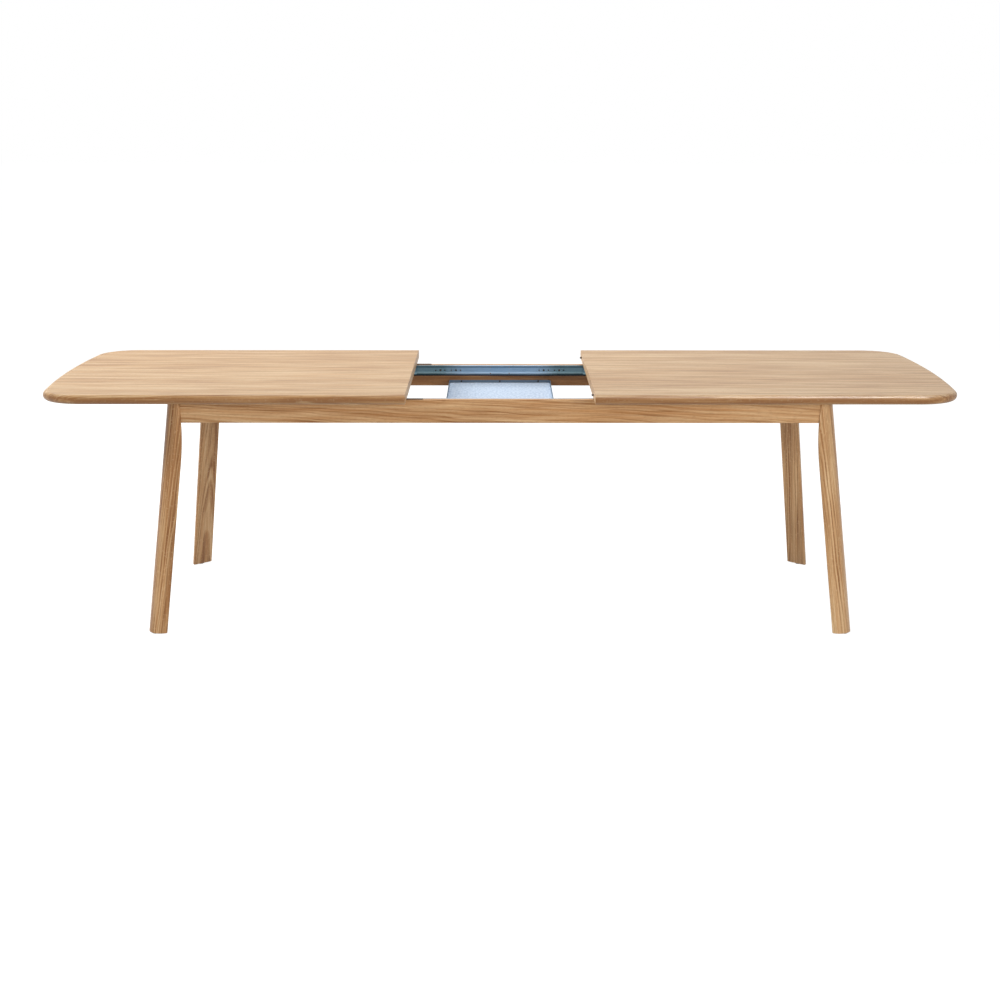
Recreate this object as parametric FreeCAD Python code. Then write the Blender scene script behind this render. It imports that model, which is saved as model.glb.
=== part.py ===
import FreeCAD, Part
import math
import os

# A split-top extending dining table in oak, lengths in millimetres.
# It stands on the floor at Z = 0, centred on X = 0 and Y = 0, with X along the table and the front at -Y.
# The two top halves are drawn apart to the end of their slides, ready for a spare leaf to be dropped in.

V = FreeCAD.Vector
UP = V(0, 0, 1)

# Top: two halves with a bullnosed edge and gently bowed ends
table_height = 750.0
top_width = 1000.0
top_thickness = 28.0
half_length = 1114.0
end_bow = 30.0
corner_radius = 130.0
edge_flat = 1.0
leaf_opening = 564.0

# Frame of four aprons, mitred at the corners and cut back there to seat the legs
frame_length = 2020.0
frame_width = 758.0
apron_height = 71.0
apron_thickness = 24.0
apron_edge_round = 2.0
top_clearance = 4.5
mitre_land = 4.3

# Legs, round outside and flat inside, leaning out along the diagonals and bent upright to meet the frame
leg_chord = 77.0
leg_depth = 33.0
leg_arris = 2.5
leg_lean_angle = 8.1
leg_seat_length = 134.0
leg_bend_length = 126.0
glide_height = 3.0
glide_diameter = 25.0
glide_edge = 1.0
glide_inset = 16.0

# Corner blocks and the hanger bolts that draw the legs onto the frame
block_side = 70.0
block_tip = 14.0
block_height = 58.0
bolt_diameter = 8.0
bolt_pitch = 30.0
bolt_tail = 3.0
bolt_depth_share = 0.6
nut_width = 13.0
nut_height = 6.0
washer_diameter = 20.0
washer_thickness = 1.6
block_screw_seat = 14.0
block_screw_margin = 16.0
block_screw_pitch = 36.0

# Ball-bearing slides: a channel on each long apron, with two rails, cages and rows of balls in it
slide_height = 35.0
slide_depth = 11.8
slide_wall = 1.5
slide_lip = 4.5
slide_bend = 1.0
slide_drop = 0.5
slide_end_margin = 9.0
slide_end_gap = 138.2
ball_diameter = 4.8
ball_clearance = 0.1
race_depth = 0.5
rail_wall = 1.5
rail_depth = 8.5
rail_projection = 0.8
rail_setback = 2.0
cage_wall = 0.6
cage_setback = 40.0
cage_hole_clearance = 0.15
cage_edge_gap = 1.0
ball_pitch = 24.0
balls_in_row = 8
buffer_thickness = 3.0
buffer_clearance = 0.3
buffer_margin = 0.5
slide_station_start = 150.0
slide_station_pitch = 300.0
slide_stations = 2
slide_group_pitch = 53.0
slide_hole_pitch = 15.8
slide_hole_diameter = 4.6
system_hole_diameter = 5.0
system_hole_depth = 13.0
punch_offset = 32.0
punch_spacing = 21.0
punch_diameter = 3.6

# Runners and battens under each top half
runner_width = 30.0
runner_height = 36.0
runner_setback = 18.0
runner_end_gap = 26.0
batten_width = 60.0
batten_thickness = 22.0
batten_end_gap = 4.0
inner_batten_setback = 120.0
outer_batten_inset = 48.0

# Centre tray: a pressed steel pan between the long aprons, lined with felt
tray_width = 345.0
tray_wall = 1.5
tray_lift = 8.0
tray_lip = 8.0
felt_thickness = 2.0
felt_gap = 0.5

# Alignment pins in the right half and their sockets in the left half
pin_diameter = 6.0
pin_length = 30.0
pin_reach = 7.0
pin_chamfer = 1.2
pin_spread = 800.0
socket_clearance = 0.2
socket_end_gap = 3.0

# Wood screws and fits
slide_screw_head = 7.0
slide_screw_shank = 3.5
slide_screw_length = 16.0
tray_screw_head = 6.0
tray_screw_shank = 3.0
tray_screw_length = 14.0
wood_screw_head = 8.0
wood_screw_shank = 4.5
screw_fit = 0.05
bolt_fit = 0.1
overrun = 5.0
touch = 0.01

# Places of fasteners, as shares of the length of the piece that carries them
screw_bite_share = 0.55
recess_width_share = 0.14
recess_length_share = 0.62
recess_depth_share = 0.6
rail_screw_shares = (0.08, 0.5, 0.92)
runner_screw_shares = (0.06, 0.35, 0.65, 0.94)
runner_screw_side_share = 0.72
batten_screw_shares = (0.1, 0.5, 0.9)
tray_screw_shares = (0.12, 0.5, 0.88)

# Levels and lines that the pieces share
top_underside = table_height - top_thickness
apron_top = top_underside - top_clearance
apron_bottom = apron_top - apron_height
apron_middle = (apron_top + apron_bottom) / 2
cut_x = leaf_opening / 2
outer_x = frame_length / 2
outer_y = frame_width / 2
inner_x = outer_x - apron_thickness
inner_y = outer_y - apron_thickness
block_end = inner_x - block_side
diagonal = V(1, 1, 0).normalize()
across = V(-1, 1, 0).normalize()
inner_corner = V(inner_x, inner_y, 0)
seat_point = inner_corner + diagonal * mitre_land
seat_start = apron_top - leg_seat_length
lean = math.tan(math.radians(leg_lean_angle))
leg_round = (leg_chord ** 2 / 4 + leg_depth ** 2) / (2 * leg_depth)
leg_sink = leg_round - leg_depth
bolt_levels = (apron_middle - bolt_pitch / 2, apron_middle + bolt_pitch / 2)
slide_middle = apron_top - slide_drop - slide_height / 2
rail_face = slide_depth + rail_projection
ball_radius = ball_diameter / 2
race_radius = ball_radius + ball_clearance
ball_depth = slide_depth / 2
ball_height = slide_height / 2 - slide_wall + race_depth - race_radius
rail_half_height = ball_height - race_radius + race_depth
slide_half_length = block_end - slide_end_gap
stop_start = slide_half_length - slide_end_margin - slide_wall
buffer_start = stop_start - buffer_thickness
rail_start = cut_x + rail_setback
rail_length = buffer_start - buffer_clearance - rail_start
runner_start = cut_x + runner_setback
runner_end = block_end - runner_end_gap
runner_length = runner_end - runner_start
runner_outer_y = inner_y - rail_face
runner_inner_y = runner_outer_y - runner_width
batten_half_length = runner_inner_y - batten_end_gap
batten_middles = (cut_x + inner_batten_setback, runner_end - outer_batten_inset)
tray_floor = apron_bottom + tray_lift + tray_wall
tray_rim = tray_floor + felt_thickness + tray_lip
SIDES = (("left", -1), ("right", 1))
DEPTHS = (("front", -1), ("rear", 1))


# Helpers

def save(shape, name):
    shape.exportStep("parts/" + name + ".step")


def box(x0, x1, y0, y1, z0, z1):
    return Part.makeBox(x1 - x0, y1 - y0, z1 - z0, V(x0, y0, z0))


def prism(points, sweep):
    return Part.Face(Part.makePolygon(points + points[:1])).extrude(sweep)


def turned(profile):
    points = [V(radius, 0, height) for radius, height in profile]
    face = Part.Face(Part.makePolygon(points + points[:1]))
    return face.revolve(V(0, 0, 0), UP, 360)


def placed(shape, base, direction):
    copy = shape.copy()
    copy.Placement = FreeCAD.Placement(base, FreeCAD.Rotation(UP, direction))
    return copy


def at_corner(shape, side, depth):
    result = shape
    if side < 0:
        result = result.mirror(V(0, 0, 0), V(1, 0, 0))
    if depth < 0:
        result = result.mirror(V(0, 0, 0), V(0, 1, 0))
    return result


def at_corners(shapes):
    corners = [(side, depth) for name, side in SIDES for place, depth in DEPTHS]
    return [at_corner(shape, side, depth) for side, depth in corners for shape in shapes]


def cut_away(shape, cutters):
    return shape.cut(Part.makeCompound(cutters)).Solids[0]


def screw(head, shank, length):
    cone = (head - shank) / 2
    tip = length - shank
    body = turned([(0, 0), (head / 2, 0), (shank / 2, cone), (shank / 2, tip), (0, length)])
    wide = head * recess_length_share / 2
    thin = head * recess_width_share / 2
    deep = cone * recess_depth_share
    arms = [box(-wide, wide, -thin, thin, -deep, deep), box(-thin, thin, -wide, wide, -deep, deep)]
    return cut_away(body, arms)


def screw_space(head, shank, length):
    cone = (head - shank) / 2
    wide = head / 2 + screw_fit
    thin = shank / 2 + screw_fit
    end = length + screw_fit
    return turned([(0, -overrun), (wide, -overrun), (wide, 0), (thin, cone), (thin, end), (0, end)])


def all_placed(shape, places):
    return [placed(shape, base, direction) for base, direction in places]


def slide_point(x, depth, height):
    return V(x, inner_y - depth, slide_middle + height)


# Top halves

def top_blank():
    half_width = top_width / 2
    end_radius = (half_width ** 2 + end_bow ** 2) / (2 * end_bow)
    end_x = cut_x + half_length
    end_centre = end_x - end_radius
    corner_y = half_width - corner_radius
    corner_x = end_centre + math.sqrt((end_radius - corner_radius) ** 2 - corner_y ** 2)
    turn = math.atan2(corner_y, corner_x - end_centre)
    middle_turn = (turn + math.pi / 2) / 2
    side_point = V(corner_x, half_width, top_underside)
    end_point = V(end_centre + end_radius * math.cos(turn), end_radius * math.sin(turn), top_underside)
    corner_point = V(corner_x + corner_radius * math.cos(middle_turn),
                     corner_y + corner_radius * math.sin(middle_turn), top_underside)
    cut_point = V(cut_x, half_width, top_underside)
    front = [V(point.x, -point.y, point.z) for point in (cut_point, side_point, corner_point, end_point)]
    edges = [
        Part.LineSegment(front[0], front[1]).toShape(),
        Part.Arc(front[1], front[2], front[3]).toShape(),
        Part.Arc(front[3], V(end_x, 0, top_underside), end_point).toShape(),
        Part.Arc(end_point, corner_point, side_point).toShape(),
        Part.LineSegment(side_point, cut_point).toShape(),
        Part.LineSegment(cut_point, front[0]).toShape(),
    ]
    board = Part.Face(Part.Wire(edges)).extrude(V(0, 0, top_thickness))
    flat = [edge for edge in board.Edges if edge.BoundBox.ZLength < touch]
    outer = [edge for edge in flat if edge.BoundBox.XLength > touch]
    return board.makeFillet((top_thickness - edge_flat) / 2, outer)


def pin_places():
    level = table_height - top_thickness / 2
    return [V(cut_x, y, level) for y in (-pin_spread / 2, pin_spread / 2)]


def top_half(hole_radius, hole_depth):
    holes = [Part.makeCylinder(hole_radius, hole_depth, point, V(1, 0, 0)) for point in pin_places()]
    runner_spaces = all_placed(screw_space(*runner_screw), runner_screw_places())
    holes += runner_spaces
    holes += [at_corner(space, 1, -1) for space in runner_spaces]
    holes += all_placed(screw_space(*batten_screw), batten_screw_places())
    return cut_away(top_blank(), holes)


def alignment_pins():
    radius = pin_diameter / 2
    tip = radius - pin_chamfer
    shoulder = pin_length - pin_chamfer
    pin = turned([(0, 0), (radius, 0), (radius, shoulder), (tip, pin_length), (0, pin_length)])
    seat = pin_length - pin_reach
    return [placed(pin, point + V(seat, 0, 0), V(-1, 0, 0)) for point in pin_places()]


# Frame

def rounded_below(shape, outer_face):
    below = [edge for edge in shape.Edges if edge.BoundBox.ZMax < apron_bottom + touch]
    outer = [edge for edge in below if outer_face(edge.BoundBox)]
    return shape.makeFillet(apron_edge_round, outer)


def long_apron():
    outer_end = seat_point.x + seat_point.y - outer_y
    right = [V(outer_end, outer_y, apron_bottom), V(seat_point.x, seat_point.y, apron_bottom),
             V(inner_x, inner_y, apron_bottom)]
    left = [V(-point.x, point.y, point.z) for point in reversed(right)]
    board = prism(right + left, V(0, 0, apron_height))
    return rounded_below(board, lambda bounds: bounds.YMin > outer_y - touch)


def end_apron():
    outer_end = seat_point.x + seat_point.y - outer_x
    rear = [V(outer_x, outer_end, apron_bottom), V(seat_point.x, seat_point.y, apron_bottom),
            V(inner_x, inner_y, apron_bottom)]
    front = [V(point.x, -point.y, point.z) for point in reversed(rear)]
    board = prism(rear + front, V(0, 0, apron_height))
    return rounded_below(board, lambda bounds: bounds.XMin > outer_x - touch)


def leg_thickness(level):
    return leg_depth - lean * (level - seat_start)


def bolt_hole(start, level, length):
    return Part.makeCylinder(bolt_diameter / 2 + bolt_fit, length, start + UP * level, diagonal)


def leg_bar():
    foot = glide_height - overrun
    height = apron_top + overrun - foot
    centre = seat_point + diagonal * (lean * (seat_start - foot) - leg_sink) + UP * foot
    left = centre - across * leg_round
    right = centre + across * leg_round
    edges = [Part.Arc(left, centre + diagonal * leg_round, right).toShape(),
             Part.LineSegment(right, left).toShape()]
    return Part.Face(Part.Wire(edges)).extrude(UP * height - diagonal * (lean * height))


def leg_profile():
    def point(outward, level):
        return seat_point - across * leg_chord + diagonal * outward + UP * level

    turn = math.radians(leg_lean_angle)
    tangent = leg_bend_length / 2
    bend_radius = tangent / math.tan(turn / 2)
    bend_top = seat_start + tangent
    foot_out = lean * (seat_start - glide_height)
    inner_foot = point(foot_out, glide_height)
    bend_foot = point(tangent * math.sin(turn), seat_start - tangent * math.cos(turn))
    bend_middle = point(bend_radius * (1 - math.cos(turn / 2)), bend_top - bend_radius * math.sin(turn / 2))
    bend_head = point(0, bend_top)
    inner_head = point(0, apron_top)
    outer_head = point(leg_chord, apron_top)
    outer_foot = point(foot_out + leg_chord, glide_height)
    edges = [
        Part.LineSegment(inner_foot, bend_foot).toShape(),
        Part.Arc(bend_foot, bend_middle, bend_head).toShape(),
        Part.LineSegment(bend_head, inner_head).toShape(),
        Part.LineSegment(inner_head, outer_head).toShape(),
        Part.LineSegment(outer_head, outer_foot).toShape(),
        Part.LineSegment(outer_foot, inner_foot).toShape(),
    ]
    return Part.Face(Part.Wire(edges)).extrude(across * (2 * leg_chord))


def leg():
    post = leg_bar().common(leg_profile()).Solids[0]
    arrises = [edge for edge in post.Edges if edge.BoundBox.ZLength > touch]
    holes = [bolt_hole(seat_point, level, leg_thickness(level) * bolt_depth_share + bolt_fit)
             for level in bolt_levels]
    return cut_away(post.makeFillet(leg_arris, arrises), holes)


def foot_glide():
    radius = glide_diameter / 2
    sole = radius - glide_edge
    disc = turned([(0, 0), (sole, 0), (radius, glide_edge), (radius, glide_height), (0, glide_height)])
    foot = seat_point + diagonal * (lean * (seat_start - glide_height) + glide_inset)
    return placed(disc, foot, UP)


def corner_block():
    steps = [(0, 0), (block_side, 0), (block_side, block_tip), (block_tip, block_side), (0, block_side)]
    floor = UP * (apron_middle - block_height / 2)
    block = prism([inner_corner - V(x, y, 0) + floor for x, y in steps], UP * block_height)
    holes = [bolt_hole(inner_corner - diagonal * block_side, level, 2 * block_side) for level in bolt_levels]
    places = block_screw_places()
    pockets = [Part.makeCylinder(wood_screw_head / 2 + screw_fit, block_side, base, direction * -1)
               for base, direction in places]
    return cut_away(block, holes + pockets + all_placed(screw_space(*block_screw), places))


def block_screw_places():
    along = block_side - block_screw_margin
    levels = (apron_middle - block_screw_pitch / 2, apron_middle + block_screw_pitch / 2)
    places = [(V(inner_x - along, inner_y - block_screw_seat, level), V(0, 1, 0)) for level in levels]
    return places + [(V(inner_x - block_screw_seat, inner_y - along, level), V(1, 0, 0)) for level in levels]


def block_face():
    back = (block_side + block_tip) / 2
    return inner_corner - V(back, back, 0)


def leg_bolts():
    start = block_face() - diagonal * (washer_thickness + nut_height + bolt_tail)
    bolts = []
    for level in bolt_levels:
        end = seat_point + diagonal * (leg_thickness(level) * bolt_depth_share)
        length = (end - start).Length
        bolts.append(Part.makeCylinder(bolt_diameter / 2, length, start + UP * level, diagonal))
    return bolts


def leg_washers():
    inner = bolt_diameter / 2 + bolt_fit
    outer = washer_diameter / 2
    ring = turned([(inner, 0), (outer, 0), (outer, washer_thickness), (inner, washer_thickness)])
    start = block_face() - diagonal * washer_thickness
    return [placed(ring, start + UP * level, diagonal) for level in bolt_levels]


def leg_nuts():
    corner = nut_width / math.sqrt(3)
    turns = [math.radians(60 * step) for step in range(6)]
    rim = [V(corner * math.cos(turn), corner * math.sin(turn), 0) for turn in turns]
    hexagon = prism(rim, UP * nut_height)
    nut = hexagon.cut(Part.makeCylinder(bolt_diameter / 2 + bolt_fit, nut_height)).Solids[0]
    start = block_face() - diagonal * (washer_thickness + nut_height)
    return [placed(nut, start + UP * level, diagonal) for level in bolt_levels]


def bolt_paths():
    return [bolt_hole(inner_corner - diagonal * overrun, level, block_side) for level in bolt_levels]


# Slides

def slide_section(points, start, length):
    return prism([slide_point(start, depth, height) for depth, height in points], V(length, 0, 0))


def races(start, length):
    return [Part.makeCylinder(race_radius, length, slide_point(start, ball_depth, height), V(1, 0, 0))
            for height in (-ball_height, ball_height)]


def slide_groups():
    starts = [slide_station_start + slide_station_pitch * step for step in range(slide_stations)]
    return [start + slide_group_pitch * step for start in starts for step in range(2)]


def spare_hole_xs():
    return [group + slide_hole_pitch * step for group in slide_groups() for step in (-1, 1)]


def system_holes():
    hole = Part.makeCylinder(system_hole_diameter / 2, system_hole_depth + overrun)
    return [placed(hole, slide_point(x, overrun, 0), V(0, 1, 0)) for x in spare_hole_xs()]


def slide_channel():
    top = slide_height / 2
    lip = top - slide_lip
    flange = top - slide_wall
    throat = slide_depth - slide_wall
    upper = [(slide_wall, flange), (throat, flange), (throat, lip), (slide_depth, lip), (slide_depth, top)]
    upper.append((0, top))
    lower = [(depth, -height) for depth, height in reversed(upper)]
    length = 2 * slide_half_length
    channel = slide_section(upper + lower, -slide_half_length, length)
    bends = [edge for edge in channel.Edges if edge.BoundBox.XLength > slide_half_length
             and abs(edge.BoundBox.Center.z - slide_middle) > top - touch]
    channel = channel.makeFillet(slide_bend, bends)
    stop_top = rail_half_height - buffer_margin
    stop = box(stop_start, stop_start + slide_wall, inner_y - throat + buffer_margin, inner_y,
               slide_middle - stop_top, slide_middle + stop_top)
    channel = channel.fuse([stop, at_corner(stop, -1, 1)]).removeSplitter()
    cuts = races(-slide_half_length - overrun, length + 2 * overrun)
    hole = Part.makeCylinder(slide_hole_diameter / 2, slide_wall + 2 * overrun)
    punch = Part.makeCylinder(punch_diameter / 2, slide_wall + 2 * overrun)
    spots = [(x, 0, hole) for x in spare_hole_xs()]
    spots += [(punch_offset, height, punch) for height in (-punch_spacing / 2, punch_spacing / 2)]
    for x, height, cutter in spots:
        drilled = placed(cutter, slide_point(x, slide_wall + overrun, height), V(0, 1, 0))
        cuts += [drilled, at_corner(drilled, -1, 1)]
    screws = all_placed(screw_space(*slide_screw), channel_screw_places())
    cuts += screws + [at_corner(space, -1, 1) for space in screws]
    return cut_away(channel, cuts)


def channel_screw_places():
    return [(slide_point(group, slide_wall, 0), V(0, 1, 0)) for group in slide_groups()]


def slide_buffer():
    top = rail_half_height - buffer_margin
    throat = slide_depth - slide_wall - buffer_margin
    return box(buffer_start, stop_start, inner_y - throat, inner_y - slide_wall - buffer_margin,
               slide_middle - top, slide_middle + top)


def rail():
    top = rail_half_height
    inside = top - rail_wall
    back = rail_face - rail_depth
    web = rail_face - rail_wall
    upper = [(web, inside), (back, inside), (back, top), (rail_face, top)]
    lower = [(depth, -height) for depth, height in reversed(upper)]
    bar = slide_section(upper + lower, rail_start, rail_length)
    cuts = races(rail_start - overrun, rail_length + 2 * overrun)
    return cut_away(bar, cuts + all_placed(screw_space(*slide_screw), rail_screw_places()))


def rail_screw_places():
    web = rail_face - rail_wall
    xs = [rail_start + rail_length * share for share in rail_screw_shares]
    return [(slide_point(x, web, 0), V(0, -1, 0)) for x in xs]


def ball_xs():
    start = rail_start + cage_setback
    return [start + ball_pitch * (step + 1 / 2) for step in range(balls_in_row)]


def cage():
    web = (slide_wall + rail_face - rail_depth - cage_wall) / 2
    edge = slide_depth - slide_wall - cage_edge_gap
    outer = ball_height + cage_wall / 2
    inner = ball_height - cage_wall / 2
    upper = [(web + cage_wall, inner), (edge, inner), (edge, outer), (web, outer)]
    lower = [(depth, -height) for depth, height in reversed(upper)]
    strip = slide_section(upper + lower, rail_start + cage_setback, ball_pitch * balls_in_row)
    hole = Part.makeCylinder(ball_radius + cage_hole_clearance, slide_height)
    holes = [placed(hole, slide_point(x, ball_depth, -slide_height / 2), UP) for x in ball_xs()]
    return cut_away(strip, holes)


def balls():
    rows = (-ball_height, ball_height)
    centres = [slide_point(x, ball_depth, height) for x in ball_xs() for height in rows]
    return [Part.makeSphere(ball_radius, centre) for centre in centres]


# Runners and battens

def runner():
    bar = box(runner_start, runner_end, runner_inner_y, runner_outer_y, top_underside - runner_height,
              top_underside)
    spaces = all_placed(screw_space(*runner_screw), runner_screw_places())
    return cut_away(bar, spaces + all_placed(screw_space(*slide_screw), rail_screw_places()))


def runner_screw_places():
    y = runner_outer_y - runner_width * runner_screw_side_share
    level = top_underside - runner_height
    return [(V(runner_start + runner_length * share, y, level), UP) for share in runner_screw_shares]


def batten(middle):
    bar = box(middle - batten_width / 2, middle + batten_width / 2, -batten_half_length, batten_half_length,
              top_underside - batten_thickness, top_underside)
    return cut_away(bar, all_placed(screw_space(*batten_screw), batten_screw_places()))


def batten_screw_places():
    level = top_underside - batten_thickness
    ys = [batten_half_length * (2 * share - 1) for share in batten_screw_shares]
    return [(V(x, y, level), UP) for x in batten_middles for y in ys]


# Centre tray

def centre_tray():
    half = tray_width / 2
    pan = box(-half, half, -inner_y, inner_y, tray_floor - tray_wall, tray_rim)
    hollow = box(tray_wall - half, half - tray_wall, tray_wall - inner_y, inner_y - tray_wall, tray_floor,
                 tray_rim + overrun)
    spaces = all_placed(screw_space(*tray_screw), tray_screw_places())
    return cut_away(pan, [hollow] + spaces + [at_corner(space, 1, -1) for space in spaces])


def tray_screw_places():
    level = tray_floor + felt_thickness + tray_lip / 2
    xs = [tray_width * (share - 1 / 2) for share in tray_screw_shares]
    return [(V(x, inner_y - tray_wall, level), V(0, 1, 0)) for x in xs]


def tray_felt():
    half_x = tray_width / 2 - tray_wall - felt_gap
    half_y = inner_y - tray_wall - felt_gap
    return box(-half_x, half_x, -half_y, half_y, tray_floor, tray_floor + felt_thickness)


# Screw sizes: head diameter, shank diameter and length
slide_screw = (slide_screw_head, slide_screw_shank, slide_screw_length)
tray_screw = (tray_screw_head, tray_screw_shank, tray_screw_length)
runner_screw = (wood_screw_head, wood_screw_shank, runner_height + top_thickness * screw_bite_share)
batten_screw = (wood_screw_head, wood_screw_shank, batten_thickness + top_thickness * screw_bite_share)
block_screw = (wood_screw_head, wood_screw_shank, block_screw_seat + apron_thickness * screw_bite_share)


# The assembly

def save_frame():
    paths = bolt_paths()
    channel_spaces = all_placed(screw_space(*slide_screw), channel_screw_places())
    block_spaces = all_placed(screw_space(*block_screw), block_screw_places())
    tray_spaces = all_placed(screw_space(*tray_screw), tray_screw_places())
    corner_cuts = paths + channel_spaces + block_spaces + system_holes()
    mirrored = [at_corner(cutter, -1, 1) for cutter in corner_cuts]
    long_board = cut_away(long_apron(), corner_cuts + mirrored + tray_spaces)
    end_cuts = paths + block_spaces
    end_board = cut_away(end_apron(), end_cuts + [at_corner(cutter, 1, -1) for cutter in end_cuts])
    channel = slide_channel()
    for place, depth in DEPTHS:
        save(at_corner(long_board, 1, depth), place + "_apron")
        save(at_corner(channel, 1, depth), place + "_slide_channel")
    for name, side in SIDES:
        save(at_corner(end_board, side, 1), name + "_end_apron")
    post = leg()
    block = corner_block()
    for place, depth in DEPTHS:
        for name, side in SIDES:
            save(at_corner(post, side, depth), place + "_" + name + "_leg")
            save(at_corner(block, side, depth), place + "_" + name + "_corner_block")
    groups = {
        "leg_bolts": leg_bolts(),
        "leg_washers": leg_washers(),
        "leg_nuts": leg_nuts(),
        "foot_glides": [foot_glide()],
        "block_screws": all_placed(screw(*block_screw), block_screw_places()),
        "channel_screws": all_placed(screw(*slide_screw), channel_screw_places()),
        "slide_buffers": [slide_buffer()],
    }
    for name, solids in groups.items():
        save(Part.makeCompound(at_corners(solids)), name)
    tray_screws = all_placed(screw(*tray_screw), tray_screw_places())
    save(Part.makeCompound(tray_screws + [at_corner(item, 1, -1) for item in tray_screws]), "tray_screws")
    save(centre_tray(), "centre_tray")
    save(tray_felt(), "tray_felt")


def save_halves():
    pin_radius = pin_diameter / 2
    save(top_half(pin_radius + screw_fit, pin_length - pin_reach), "right_top")
    socket = top_half(pin_radius + socket_clearance, pin_reach + socket_end_gap)
    save(at_corner(socket, -1, 1), "left_top")
    save(Part.makeCompound(alignment_pins()), "alignment_pins")
    bar = rail()
    cleat = runner()
    strip = cage()
    rail_screws = all_placed(screw(*slide_screw), rail_screw_places())
    runner_screws = all_placed(screw(*runner_screw), runner_screw_places())
    batten_screws = all_placed(screw(*batten_screw), batten_screw_places())
    row = balls()
    for name, side in SIDES:
        for place, depth in DEPTHS:
            corner = place + "_" + name
            save(at_corner(bar, side, depth), corner + "_rail")
            save(at_corner(cleat, side, depth), corner + "_runner")
            save(at_corner(strip, side, depth), corner + "_cage")
            save(Part.makeCompound([at_corner(ball, side, depth) for ball in row]), corner + "_balls")
        both = [(screws, depth) for screws in (rail_screws, runner_screws) for place, depth in DEPTHS]
        placed_screws = [[at_corner(item, side, depth) for item in screws] for screws, depth in both]
        save(Part.makeCompound(placed_screws[0] + placed_screws[1]), name + "_rail_screws")
        save(Part.makeCompound(placed_screws[2] + placed_screws[3]), name + "_runner_screws")
        save(Part.makeCompound([at_corner(item, side, 1) for item in batten_screws]), name + "_batten_screws")
        for part, middle in zip(("_inner_batten", "_outer_batten"), batten_middles):
            save(at_corner(batten(middle), side, 1), name + part)


os.makedirs("parts", exist_ok=True)
save_frame()
save_halves()
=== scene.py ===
import math
import random

import bmesh
import bpy
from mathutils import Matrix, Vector, noise


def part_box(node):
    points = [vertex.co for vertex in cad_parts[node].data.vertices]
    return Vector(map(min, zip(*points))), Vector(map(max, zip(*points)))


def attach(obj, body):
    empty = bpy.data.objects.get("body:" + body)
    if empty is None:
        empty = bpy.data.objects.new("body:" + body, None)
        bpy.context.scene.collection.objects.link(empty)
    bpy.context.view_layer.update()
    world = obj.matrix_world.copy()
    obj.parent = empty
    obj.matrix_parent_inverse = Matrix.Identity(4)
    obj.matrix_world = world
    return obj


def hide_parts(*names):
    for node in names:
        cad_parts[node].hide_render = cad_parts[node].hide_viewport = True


# A split-top extending table in oak, drawn open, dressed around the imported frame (metres, front at -Y).
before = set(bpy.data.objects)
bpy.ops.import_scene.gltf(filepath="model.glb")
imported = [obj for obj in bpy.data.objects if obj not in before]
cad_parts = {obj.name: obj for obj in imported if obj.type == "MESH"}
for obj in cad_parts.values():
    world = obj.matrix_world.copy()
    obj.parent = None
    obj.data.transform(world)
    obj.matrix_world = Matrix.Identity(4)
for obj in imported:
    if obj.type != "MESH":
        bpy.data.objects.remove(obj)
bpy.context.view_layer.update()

MM = 0.001

# Camera, from the front and a little above: place in metres, turns in radians, lens and sensor in millimetres
CAMERA_PLACE = (-0.0092, -5.8063, 1.6111)
CAMERA_PITCH = 0.2182
CAMERA_ROLL = -0.0007
CAMERA_TURN = -0.0015
CAMERA_LENS = 65.42
CAMERA_SENSOR = 36

# Light: what comes from all round, and soft boxes with their place, aim, size in metres and power.
# The last shows in shines alone, along the front edge of the right half.
AMBIENT = 0.25
LAMPS = (
    ("left_key", (-5.0, -1.2, 3.2), (0, 0, 0.7), (1.2, 1.2), 112),
    ("front_right", (2.4, -5.0, 1.3), (0.3, 0, 0.5), (2.2, 1.6), 144),
    ("front_left", (-1.8, -5.5, 1.3), (-0.3, 0, 0.5), (2.2, 1.6), 50),
    ("overhead", (0, 0.4, 3.6), (0, 0, 0.7), (3.0, 1.6), 55),
    ("rear_left", (-3.2, 3.0, 2.4), (-0.4, 0, 0.7), (1.6, 1.2), 138),
)
EDGE_SHINE = ("edge_shine", (1.66, -1.36, 3.19), (1.1, -0.5, 0.74), (0.8, 0.9), 128)

# Floor: how grey it is to the light, how much it glows where it is seen, and half its width in metres
FLOOR_GREY = 0.3
FLOOR_GLOW = 0.93
FLOOR_REACH = 40

# Top halves: bowed ends, round corners, bullnosed edge, glued up from staves; holes for the alignment pins by
# radius and depth
END_BOW = 30 * MM
END_STEPS = 40
CORNER_RADIUS = 130 * MM
CORNER_STEPS = 18
EDGE_FLAT = 1.0 * MM
EDGE_STEPS = 9
CUT_EASE = 0.7 * MM
SHADING_BORDER = 2.0 * MM
STAVE_WIDTH = 96 * MM
STAVE_START = 31 * MM
STAVES_EACH_SIDE = 6
PIN_HOLE = (3.05 * MM, 23 * MM)
PIN_SOCKET = (3.2 * MM, 10 * MM)

# Legs: round outside and flat inside, leaning out along the diagonals and bent upright to meet the frame
LEG_CHORD = 77 * MM
LEG_DEPTH = 33 * MM
LEG_ROUND = (LEG_CHORD ** 2 / 4 + LEG_DEPTH ** 2) / (2 * LEG_DEPTH)
LEG_SINK = LEG_ROUND - LEG_DEPTH
LEG_ARRIS = 2.5 * MM
ARRIS_STEPS = 5
ROUND_STEPS = 28
LEG_LEAN = math.tan(math.radians(8.1))
LEG_SEAT_LENGTH = 134 * MM
LEG_BEND = 63 * MM
MITRE_LAND = 4.3 * MM
FOOT_EASE = 1.2 * MM
# Steps up the leg below, along and above its bend
LEG_STEPS = (10, 16, 4)

# Boards of the frame and under the halves
BOARD_EASE = 0.8 * MM
FLAT_ANGLE = math.radians(1)
ARRIS_ANGLE = math.radians(30)
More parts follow.
